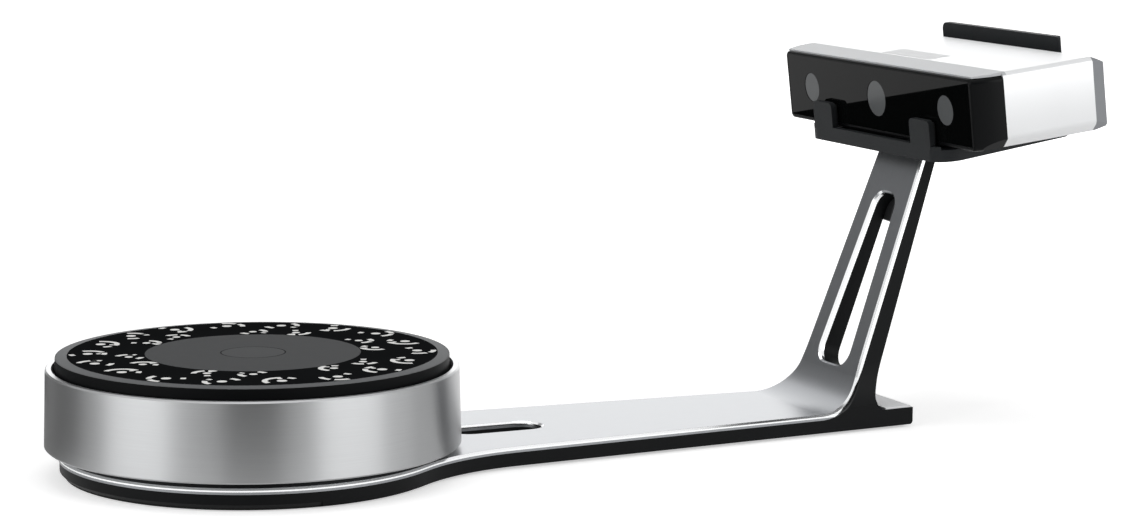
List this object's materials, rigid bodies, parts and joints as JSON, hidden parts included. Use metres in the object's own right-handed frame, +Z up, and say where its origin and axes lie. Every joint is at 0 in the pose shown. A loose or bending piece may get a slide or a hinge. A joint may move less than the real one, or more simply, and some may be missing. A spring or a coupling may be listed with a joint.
{
  "type": "desktop 3d scanner",
  "caption": "Desktop 3D scanner: motorised turntable drum and a wide stereo scanner head resting in a cradle on a leaning column, joined by a long bent-plate base.",
  "frame": {"origin": "on the turntable axis, at the table the scanner stands on", "axes": "+X from the turntable to the column, +Z up, +Y to the left when looking along +X"},
  "size_m": [0.5509, 0.21, 0.2112],
  "materials": {
    "black_casting": "satin powder coat",
    "plate_aluminium": "fine bead-blasted and clear anodised",
    "drum_aluminium": "turned and brushed",
    "inlay_grey": "matte",
    "cover_steel": "matte",
    "screw_steel": "zinc plated",
    "black_rubber": "matte",
    "neck_black": "matte",
    "deck_steel": "plain",
    "housing_aluminium": "turned",
    "bearing_steel": "ground",
    "platter_grey": "satin",
    "marker_black": "matte black with printed white markers",
    "pad_grey": "matte",
    "pulley_plastic": "moulded",
    "belt_rubber": "ribbed",
    "motor_black": "satin",
    "board_green": "solder mask",
    "part_black": "moulded",
    "brass": "plain",
    "cradle_charcoal": "fine textured",
    "head_white": "satin white",
    "bezel_black": "gloss",
    "brow_grey": "satin",
    "cap_grey": "satin",
    "dark_glass": "dark tinted",
    "window_glass": "coated",
    "lens_glass": "coated",
    "module_aluminium": "black anodised",
    "badge_aluminium": "plain, left bare"
  },
  "bodies": {
    "base": {"base_frame": "black_casting", "top_plate": "plate_aluminium", "foot_inlay": "inlay_grey", "bottom_cover": "cover_steel", "bottom_cover_screws": "screw_steel", "foot_ring": "black_rubber", "rear_foot_pad": "black_rubber", "plate_screws": "screw_steel", "neck_ring": "neck_black", "drum_ring": "drum_aluminium", "drum_screws": "screw_steel", "deck_plate": "deck_steel", "deck_screws": "screw_steel", "bearing_housing": "housing_aluminium", "housing_screws": "screw_steel", "bearing_outer_races": "bearing_steel", "bearing_balls": "bearing_steel", "motor_body": "motor_black", "motor_screws": "screw_steel", "drive_belt": "belt_rubber", "control_board": "board_green", "board_standoffs": "brass", "board_parts": "part_black", "link_socket": "part_black", "head_cradle": "cradle_charcoal", "cradle_pads": "black_rubber", "cradle_screws": "screw_steel", "cable_clip": "part_black"},
    "turntable": {"platter": "platter_grey", "marker_ring": "marker_black", "anti_slip_pad": "pad_grey", "centre_cap": "pad_grey", "spindle": "screw_steel", "bearing_inner_races": "bearing_steel", "platter_pulley": "pulley_plastic", "platter_screws": "screw_steel"},
    "motor_rotor": {"motor_shaft": "screw_steel", "motor_pulley": "housing_aluminium"},
    "head": {"head_sleeve": "head_white", "front_bezel": "bezel_black", "brow_strip": "brow_grey", "rear_cap": "cap_grey", "usb_socket": "part_black", "power_jack": "part_black", "head_link_socket": "part_black", "power_switch": "part_black", "badge_plate": "badge_aluminium", "head_screws": "screw_steel", "tripod_insert": "brass", "front_window": "dark_glass", "camera_windows": "window_glass", "projector_window": "window_glass", "lenses": "lens_glass", "camera_modules": "module_aluminium", "projector_module": "module_aluminium", "optical_frame": "housing_aluminium", "main_board": "board_green", "board_spacers": "brass", "heat_sink": "module_aluminium"},
    "power_button": {"power_button": "brow_grey"}
  },
  "joints": [
    {"name": "platter_spin", "type": "hinge", "parent": "base", "child": "turntable", "pos_m": [0, 0, 0.06], "axis": [0, 0, 1], "continuous": true},
    {"name": "motor_spin", "type": "hinge", "parent": "base", "child": "motor_rotor", "pos_m": [-0.071, 0, 0.044], "axis": [0, 0, 1], "continuous": true},
    {"name": "head_lift_off", "type": "slide", "parent": "base", "child": "head", "axis": [-0.1149, 0, 0.9934], "range_m": [0, 0.045]},
    {"name": "power_button_push", "type": "slide", "parent": "head", "child": "power_button", "axis": [-0.9934, 0, -0.1149], "range_m": [0, 0.001], "stiffness_N_per_m": 600, "springref_m": -0.001}
  ],
  "couplings": [
    {"joint": "motor_spin", "follows": "platter_spin", "ratio": 5}
  ]
}
